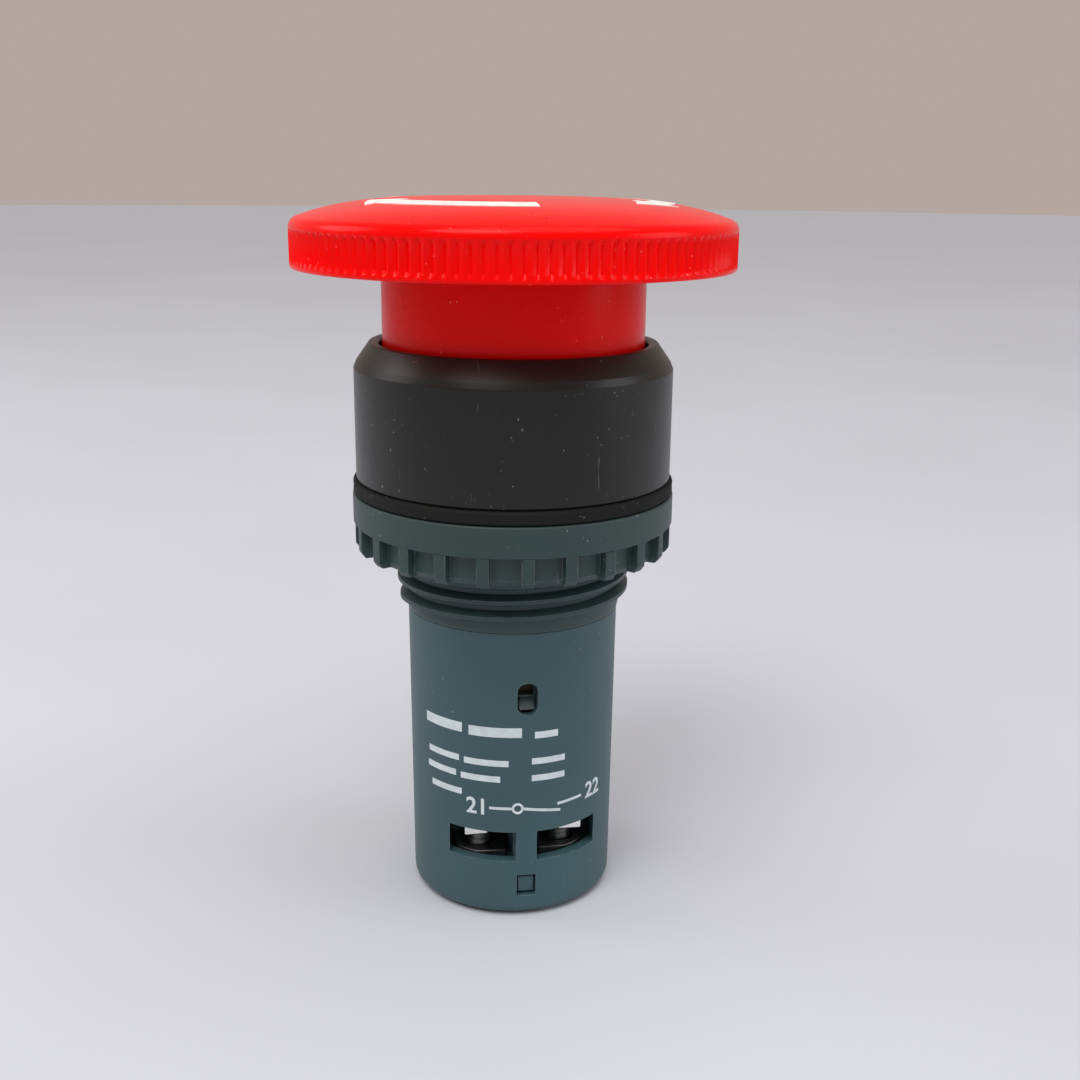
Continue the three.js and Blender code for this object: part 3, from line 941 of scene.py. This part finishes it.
class STOPBUTTON_OT_nut(bpy.types.Operator):
    """Models the ring nut with its grip ribs"""
    bl_idname = "stopbutton.nut"
    bl_label = "Ring nut"

    def execute(self, context):
        nut = context.scene.stop_button.nut
        low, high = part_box("ring_nut")
        r, bottom, top = high[0], low[2], high[2]
        bore = context.scene.stop_button.neck.crest_radius + 0.15 * MM
        band_bottom = top - nut.band
        root = nut.root_radius
        outline = eased([
            (bore, bottom, 0.3 * MM),
            (bore, top, 0.3 * MM),
            (r, top, 0.22 * MM),
            (r, band_bottom, 0.15 * MM),
            (root, band_bottom, 0.1 * MM),
            (root, bottom + 0.5 * MM, 0),
            (root - 0.35 * MM, bottom, 0),
        ])
        per_rib = 14
        piece = spun("ring_nut_fine", outline, nut.ribs * per_rib)
        step = 2 * pi / nut.ribs
        half = nut.rib_width / 2 / root

        def on_rib(place):
            turn = (atan2(place[1], place[0]) - nut.first_rib) / step
            across = abs(turn - round(turn)) * step
            flank = Vector(place[:2]).length > root - 0.30 * MM
            return flank and across < half and bottom - 0.01 * MM < place[2] < band_bottom - 0.05 * MM

        pick(piece, on_rib, "FACE")
        wide = (r - 0.15 * MM) / root
        bpy.ops.mesh.extrude_region_move()
        bpy.ops.transform.resize(value=(wide, wide, 1), center_override=CENTRE)
        bpy.ops.object.mode_set(mode="OBJECT")
        tidy(piece)
        bevelled(piece, 0.13 * MM, 2, 42)
        smooth_cut(piece)
        finished(piece, finishes()["nut"], "nut", "nut_plastic", "ring_nut")
        return {"FINISHED"}


# ---------------------------------------------------------------- threaded neck

class STOPBUTTON_OT_neck(bpy.types.Operator):
    """Models the threaded neck with its cup, thread, spigot and snap hooks"""
    bl_idname = "stopbutton.neck"
    bl_label = "Threaded neck"

    def execute(self, context):
        neck = context.scene.stop_button.neck
        low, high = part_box("threaded_bushing")
        root = neck.root_radius
        flange_r, cup_top = high[0], high[2]
        flange_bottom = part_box("panel_gasket")[1][2]
        flange_top = flange_bottom + 2 * MM
        cup_r = flange_r - 0.7 * MM
        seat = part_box("contact_housing")[1][2]
        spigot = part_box("contact_base")[1][0] - 0.05 * MM
        spigot_bottom = seat - 3.9 * MM
        bore, low_bore, hole = 8.2 * MM, 7.6 * MM, 3.0 * MM
        web_bottom, web_top = seat + 1.6 * MM, seat + 3.1 * MM
        outline = eased([
            (low_bore, spigot_bottom, 0),
            (spigot, spigot_bottom, 0.2 * MM),
            (spigot, seat, 0),
            (root - 0.12 * MM, seat, 0.15 * MM),
            (root, seat + 0.45 * MM, 0),
            (root, flange_bottom, 0),
            (flange_r, flange_bottom, 0),
            (flange_r, cup_top, 0.2 * MM),
            (cup_r, cup_top, 0.1 * MM),
            (cup_r, flange_top, 0),
            (bore, flange_top, 0),
            (bore, web_top, 0),
            (hole, web_top, 0),
            (hole, web_bottom, 0),
            (low_bore, web_bottom, 0),
        ])
        piece = spun("threaded_neck_fine", outline, 128)
        self.add_hooks(piece, spigot, low[2], spigot_bottom)
        smooth_cut(piece, 35)
        finished(piece, finishes()["neck"], "housing", "slate_plastic", "threaded_bushing")
        thread = self.thread(neck, flange_bottom)
        finished(thread, finishes()["neck"], "housing", "slate_plastic")
        return {"FINISHED"}

    def thread(self, neck, flange_bottom):
        """The ridge of the thread, up to the flange, with a start that rises out of the neck."""
        root, crest, pitch = neck.root_radius, neck.crest_radius, neck.pitch
        sunk = 0.10 * MM
        ease = 0.05 * MM
        half_root, half_crest = 0.38 * pitch, 0.12 * pitch
        turns = int((flange_bottom - neck.start - 2 * half_root) / pitch)
        middle = neck.start + half_root
        section = [
            (root - sunk, middle - half_root),
            (root, middle - half_root),
            (crest - ease, middle - half_crest - ease),
            (crest, middle - half_crest),
            (crest, middle + half_crest),
            (crest - ease, middle + half_crest + ease),
            (root, middle + half_root),
            (root - sunk, middle + half_root),
        ]
        thread = helix("neck_thread", section, pitch, turns, 96)
        run_in = radians(40)
        for vertex in thread.data.vertices:
            x, y, z = vertex.co
            turn = atan2(y, x) % (2 * pi)
            if turn < run_in and z < middle + pitch / 2:
                r = Vector((x, y)).length
                share = 1 - (1 - turn / run_in) * (r - root + sunk) / r
                vertex.co = (x * share, y * share, z)
        activate(thread)
        thread.rotation_euler = (0, 0, neck.thread_turn)
        settle()
        return smooth(thread, 30)

    def add_hooks(self, piece, spigot, leg_bottom, spigot_bottom):
        """Two legs down from the spigot, each with a snap hook that shows in the upper slot."""
        inside = spigot - 1.0 * MM
        wall = [
            (inside, leg_bottom, 0), (spigot, leg_bottom, 0),
            (spigot, spigot_bottom, 0), (inside, spigot_bottom, 0),
        ]
        legs = spun("legs", eased(wall), 128)
        half = 2.6 * MM
        keep = block("keep", (-half, -0.02, leg_bottom - MM), (half, 0.02, spigot_bottom + 0.2 * MM))
        combine(legs, [keep], "INTERSECT")
        weld(piece, legs)
        half = 0.75 * MM
        low, high = 20.9 * MM, 22.1 * MM
        window_half = 0.7 * MM
        window_low, window_high = 22.0 * MM, 23.7 * MM
        edge = SNAP_REACH - 0.1 * MM
        for side in SIDES:
            near, far = outwards(side, spigot - 0.5 * MM, SNAP_REACH)
            hook = block("hook", (-half, near, low), (half, far, high))
            pick(hook, lambda place: abs(place[1]) > edge and place[2] > low + MM)
            bpy.ops.transform.translate(value=(0, -side * 0.9 * MM, -0.3 * MM))
            bpy.ops.object.mode_set(mode="OBJECT")
            bevelled(hook, 0.12 * MM)
            weld(piece, hook)
            near, far = outwards(side, spigot - 2 * MM, spigot + MM)
            corners = (-window_half, near, window_low), (window_half, far, window_high)
            cut(piece, block("hook_window", *corners))


# ---------------------------------------------------------------- contact block

class STOPBUTTON_OT_housing(bpy.types.Operator):
    """Models the round contact housing with its wire openings and snap slots"""
    bl_idname = "stopbutton.housing"
    bl_label = "Contact housing"

    def execute(self, context):
        settings = context.scene.stop_button.block
        r, _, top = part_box("contact_housing")[1]
        rear_r = r - TAPER
        bore = r - settings.wall
        outline = eased([
            (bore, 0, 0.25 * MM),
            (rear_r, 0, settings.corner),
            (r, top, 0.12 * MM),
            (bore, top, 0),
        ], steps=8)
        piece = spun("contact_housing_fine", outline, 192)
        for side in SIDES:
            near, far = outwards(side, 0.99 * MM, 6.95 * MM)
            cut(piece, block("opening", (near, -THROUGH, 5.7 * MM), (far, THROUGH, 8.7 * MM)))
        half = 0.95 * MM
        slot = block("slot", (-half, -THROUGH, 20.5 * MM), (half, THROUGH, 23.6 * MM))
        modify(slot, "BEVEL", width=0.85 * MM, segments=6, limit_method="ANGLE", angle_limit=radians(40))
        cut(piece, slot)
        half = 0.9 * MM
        cut(piece, block("low_slot", (-half, -THROUGH, 2.05 * MM), (half, THROUGH, 4.2 * MM)))
        tidy(piece)
        bevelled(piece, 0.10 * MM, 2, 50)
        smooth_cut(piece)
        finished(piece, finishes()["block"], "housing", "slate_plastic", "contact_housing")
        return {"FINISHED"}


class STOPBUTTON_OT_base(bpy.types.Operator):
    """Models the rear insert with its terminal chambers, screw holes, snap tabs and guide rails"""
    bl_idname = "stopbutton.base"
    bl_label = "Contact base"

    def execute(self, context):
        low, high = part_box("contact_base")
        r, rear = high[0], low[2]
        top = 10.2 * MM
        outline = eased([
            (0, rear, 0),
            (r, rear, 0.2 * MM),
            (r, top, 0.2 * MM),
            (0, top, 0),
        ], closed=False)
        piece = spun("contact_base_fine", outline, 128)
        tab_half, rail_half = 0.75 * MM, 1.8 * MM
        for side in SIDES:
            near, far = outwards(side, r - MM, SNAP_REACH)
            tab = block("tab", (-tab_half, near, 2.3 * MM), (tab_half, far, 3.95 * MM))
            pick(tab, lambda place: abs(place[1]) > SNAP_REACH - 0.05 * MM and place[2] < 3 * MM)
            bpy.ops.transform.translate(value=(0, -side * 0.15 * MM, 0))
            bpy.ops.object.mode_set(mode="OBJECT")
            near, far = outwards(side, 6.6 * MM, 7.2 * MM)
            rail = block("rail", (-rail_half, near, top - 0.2 * MM), (rail_half, far, 20 * MM))
            weld(piece, bevelled(tab, 0.1 * MM), rail)
        chamber_low, chamber_high = 4.8 * MM, 9.4 * MM
        for number in NUMBERS:
            x, y = screw_place(number)
            across, along = (1 if x > 0 else -1), (1 if y > 0 else -1)
            near, far = outwards(across, 1.05 * MM, 7.1 * MM)
            front, back = outwards(along, 2.6 * MM, 10 * MM)
            chamber = block("chamber", (near, front, chamber_low), (far, back, chamber_high))
            near, far = outwards(across, 6.1 * MM, 10 * MM)
            front, back = outwards(along, 2.7 * MM, 4.8 * MM)
            leg_slot = block("leg_slot", (near, front, chamber_high - 0.5 * MM), (far, back, top + MM))
            head_hole = rod("head_hole", 2.2 * MM, rear - MM, chamber_low + 0.1 * MM, (x, y))
            tip_hole = rod("tip_hole", 1.6 * MM, chamber_high - 0.1 * MM, top + MM, (x, y), 32)
            cut(piece, chamber, leg_slot, head_hole, tip_hole)
        cut(piece, rod("pocket", 1.7 * MM, 2.5 * MM, top + MM, sides=40))
        tidy(piece)
        bevelled(piece, 0.10 * MM, 2, 50)
        smooth_cut(piece)
        finished(piece, finishes()["block"], "housing", "slate_plastic", "contact_base")
        return {"FINISHED"}


class STOPBUTTON_OT_screws(bpy.types.Operator):
    """Models the four terminal screws with cross slots and threads"""
    bl_idname = "stopbutton.screws"
    bl_label = "Terminal screws"

    def execute(self, context):
        low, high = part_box("terminal_screw_21")
        head_r = (high[0] - low[0]) / 2
        bottom, top = low[2], high[2]
        shank = 1.2 * MM
        core = shank - 0.22 * MM
        head_top = bottom + 1.45 * MM
        outline = eased([
            (0, bottom, 0),
            (head_r, bottom, 0.45 * MM),
            (head_r, head_top, 0.1 * MM),
            (core, head_top, 0),
            (core, top - 0.3 * MM, 0),
            (shank - 0.5 * MM, top, 0),
            (0, top, 0),
        ], closed=False)
        pattern = spun("screw_pattern", outline, 64)
        slot_half, reach, depth = 0.28 * MM, 1.35 * MM, 0.8 * MM
        deep = bottom + depth
        cut(
            pattern,
            block("slot", (-slot_half, -reach, bottom - MM), (slot_half, reach, deep)),
            block("slot", (-reach, -slot_half, bottom - MM), (reach, slot_half, deep)),
        )
        bevelled(pattern, 0.05 * MM, 2, 50)
        pitch = 0.45 * MM
        start = head_top + 0.4 * MM
        section = [
            (core - 0.04 * MM, start),
            (core, start),
            (shank, start + 0.45 * pitch),
            (shank, start + 0.55 * pitch),
            (core, start + pitch),
            (core - 0.04 * MM, start + pitch),
        ]
        thread = helix("screw_thread", section, pitch, int((top - start - 0.8 * MM) / pitch), 40)
        activate(pattern, thread)
        bpy.ops.object.join()
        smooth(pattern, 30)
        for number in NUMBERS:
            node = "terminal_screw_" + number
            screw = copy_of(pattern, node + "_fine", *screw_place(number))
            finished(screw, finishes()["screw"], "screw_" + number, "screw_steel", node)
        bpy.data.objects.remove(pattern)
        return {"FINISHED"}


class STOPBUTTON_OT_terminals(bpy.types.Operator):
    """Softens the edges of the terminals, clamp plates and contact bridges"""
    bl_idname = "stopbutton.terminals"
    bl_label = "Terminals and bridges"

    def execute(self, context):
        metal_pieces = finishes()
        for number in NUMBERS:
            terminal = refined("terminal_" + number, metal_pieces["contact"], "housing", "contact_brass")
            x, y = screw_place(number)
            near, far = sorted((y * 1.54, y * 1.61))
            middle, half = x * 1.15, 1.1 * MM
            lip = block("lip", (middle - half, near, 7.65 * MM), (middle + half, far, 8.8 * MM))
            weld(terminal, bevelled(lip, 0.12 * MM, 3))
            smooth(terminal)
            # The clamp plates get the darkened steel, a painted shade for the inside of the wire
            # openings.
            refined("clamp_plate_" + number, metal_pieces["clamp"], "clamp_" + number, "screw_steel")
        refined("nc_bridge", metal_pieces["contact"], "bridge_nc", "contact_brass")
        refined("no_bridge", metal_pieces["contact"], "bridge_no", "contact_brass")
        return {"FINISHED"}


class STOPBUTTON_OT_inner(bpy.types.Operator):
    """Softens the edges of the moulded pieces inside"""
    bl_idname = "stopbutton.inner"
    bl_label = "Inner pieces"

    def execute(self, context):
        inner = finishes()["inner"]
        for node, body in (
            ("actuator_spindle", "head"),
            ("latch_ring", "housing"),
            ("push_rod", "plunger"),
            ("bridge_carrier", "plunger"),
        ):
            refined(node, inner, body, "inner_plastic", 0.12 * MM)
        for side in ("left", "right"):
            refined("latch_pin_" + side, finishes()["screw"], "pin_" + side, "screw_steel")
        return {"FINISHED"}


class STOPBUTTON_OT_springs(bpy.types.Operator):
    """Winds the springs as smooth wire"""
    bl_idname = "stopbutton.springs"
    bl_label = "Springs"

    def execute(self, context):
        for node, mean, wire, turns, body, squeeze in (
            ("return_spring", 6.2, 0.9, 2, "housing", STROKE),
            ("twist_spring", 6.8, 0.7, 5, "housing", STROKE),
            ("carrier_spring", 1.2, 0.4, 8, "housing", STROKE),
            ("nc_contact_spring", 1.0, 0.3, 2, "plunger", 0),
            ("no_contact_spring", 1.0, 0.3, 4, "plunger", BRIDGE_LAG),
        ):
            low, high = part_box(node)
            spring = coil(node + "_fine", mean * MM, wire * MM, low[2], high[2], turns)
            if mean < 1.1:
                move(spring, 0, (low[1] + high[1]) / 2, 0)
            finished(spring, finishes()["spring"], body, "spring_steel", node)
            if squeeze:
                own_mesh(spring)
        for side in ("left", "right"):
            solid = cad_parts["latch_spring_" + side]
            solid.data.materials.clear()
            solid.data.materials.append(finishes()["spring"])
        return {"FINISHED"}


# ---------------------------------------------------------------- print on the housing

def mark(centre, height, width, thickness, turn=0.0):
    """A straight stroke of print, laid out flat in front of the housing."""
    deselect()
    columns = max(2, int(width / (0.4 * MM)))
    bpy.ops.mesh.primitive_grid_add(x_subdivisions=columns, y_subdivisions=1, size=1)
    stroke = named("mark")
    stroke.scale = (width, thickness, 1)
    stroke.rotation_euler = (pi / 2, -turn, 0)
    stroke.location = (centre, 0, height)
    settle()
    bpy.ops.object.mode_set(mode="EDIT")
    bpy.ops.mesh.select_all(action="SELECT")
    bpy.ops.mesh.extrude_region_move(TRANSFORM_OT_translate={"value": (0, INK, 0)})
    bpy.ops.object.mode_set(mode="OBJECT")
    return tidy(stroke)


def number_mark(body, centre, height, size):
    """A terminal's number, laid out flat in front of the housing."""
    deselect()
    bpy.ops.object.text_add(rotation=(pi / 2, 0, 0))
    number = named("number")
    number.data.body = body
    number.data.size = size
    number.data.align_x = "CENTER"
    number.data.align_y = "CENTER"
    number.data.offset = 0.02 * size
    number.data.extrude = INK / 2
    bpy.ops.object.convert(target="MESH")
    return tidy(move(named("number"), centre, INK / 2, height))


def circle_mark(centre, height, r):
    """A ring of print, laid out flat in front of the housing."""
    deselect()
    bpy.ops.mesh.primitive_torus_add(
        location=(centre, INK / 2, height), rotation=(pi / 2, 0, 0), major_segments=32,
        minor_segments=8, major_radius=r, minor_radius=0.12 * MM,
    )
    circle = named("circle")
    settle()
    return circle


def wrapped(name, strokes, side):
    """Joins flat marks and bends them round the housing, on its front (-1) or its back (1)."""
    top_r, _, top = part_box("contact_housing")[1]
    activate(*strokes)
    bpy.ops.object.join()
    joined = named(name)
    for vertex in joined.data.vertices:
        x, depth, z = vertex.co
        r = top_r - TAPER * (1 - z / top) + INK / 2 - depth
        turn = x / top_r
        vertex.co = (-side * r * sin(turn), side * r * cos(turn), z)
    return tidy(joined)


class STOPBUTTON_OT_print(bpy.types.Operator):
    """Prints the terminal numbers, the contact symbols and plain filler lines on the housing"""
    bl_idname = "stopbutton.print"
    bl_label = "Print"

    def execute(self, context):
        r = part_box("contact_housing")[1][0]

        def along(degrees):
            return radians(degrees) * r

        ink = finishes()["ink"]
        # Degrees round from the front where a line starts and ends, then its height and thickness.
        lines = (
            (-62, -36, 18.9, 0.95), (-32, -3, 18.8, 0.95), (4, 17, 18.5, 0.65),
            (-60, -38, 15.8, 0.6), (-35, -10, 15.7, 0.6), (2.5, 21.5, 15.9, 0.6),
            (-61, -40, 14.2, 0.6), (-37, -14.5, 14.1, 0.6), (2.5, 21.5, 14.2, 0.6),
            (-58, -36.5, 12.4, 0.6),
        )
        filler = []
        for start, end, height, thickness in lines:
            middle = along((start + end) / 2)
            filler.append(mark(middle, height * MM, along(end - start), thickness * MM))
        finished(wrapped("print_filler", filler, -1), ink, "housing", "marking_white")

        stroke = 0.26 * MM
        size = 2.25 * MM  # of the numbers
        opening = [
            number_mark("21", along(-27.5), 11.1 * MM, size),
            mark(along(-14), 11.15 * MM, along(13), stroke),
            circle_mark(along(-5), 11.15 * MM, 0.45 * MM),
            mark(along(8.5), 10.85 * MM, along(22), stroke, radians(-9)),
            mark(along(25.5), 11.3 * MM, along(16), stroke, radians(3)),
            number_mark("22", along(43), 11.5 * MM, size),
        ]
        finished(wrapped("print_opening_contact", opening, -1), ink, "housing", "marking_white")
        closing = [
            number_mark("13", along(-26), 11.2 * MM, size),
            mark(along(-11.5), 11.2 * MM, along(14), stroke),
            mark(along(4), 11.75 * MM, along(18), stroke, radians(20)),
            mark(along(20), 11.2 * MM, along(13), stroke),
            number_mark("14", along(34), 11.2 * MM, size),
        ]
        finished(wrapped("print_closing_contact", closing, 1), ink, "housing", "marking_white")
        return {"FINISHED"}


# ---------------------------------------------------------------- panel and run

STEPS = (
    STOPBUTTON_OT_stage,
    STOPBUTTON_OT_head,
    STOPBUTTON_OT_arrows,
    STOPBUTTON_OT_sleeve,
    STOPBUTTON_OT_collar,
    STOPBUTTON_OT_seals,
    STOPBUTTON_OT_nut,
    STOPBUTTON_OT_neck,
    STOPBUTTON_OT_housing,
    STOPBUTTON_OT_print,
    STOPBUTTON_OT_base,
    STOPBUTTON_OT_screws,
    STOPBUTTON_OT_terminals,
    STOPBUTTON_OT_inner,
    STOPBUTTON_OT_springs,
)


class STOPBUTTON_PT_sidebar(bpy.types.Panel):
    """Lists the pieces and the stage in the sidebar"""
    bl_idname = "STOPBUTTON_PT_sidebar"
    bl_label = "Emergency Stop Button"
    bl_space_type = "VIEW_3D"
    bl_region_type = "UI"
    bl_category = "Stop Button"

    def draw(self, context):
        for step in STEPS:
            self.layout.operator(step.bl_idname)


SETTINGS = (
    HeadSettings,
    CollarSettings,
    NutSettings,
    NeckSettings,
    BlockSettings,
    StageSettings,
    StopButtonSettings,
)


def register():
    for kind in (*SETTINGS, *STEPS, STOPBUTTON_PT_sidebar):
        bpy.utils.register_class(kind)
    bpy.types.Scene.stop_button = PointerProperty(
        type=StopButtonSettings, name="Stop button", description="Sizes and colours of the button"
    )


def unregister():
    del bpy.types.Scene.stop_button
    for kind in reversed((*SETTINGS, *STEPS, STOPBUTTON_PT_sidebar)):
        bpy.utils.unregister_class(kind)


def main():
    register()
    for step in STEPS:
        group, name = step.bl_idname.split(".")
        getattr(getattr(bpy.ops, group), name)()


if __name__ == "__main__":
    main()
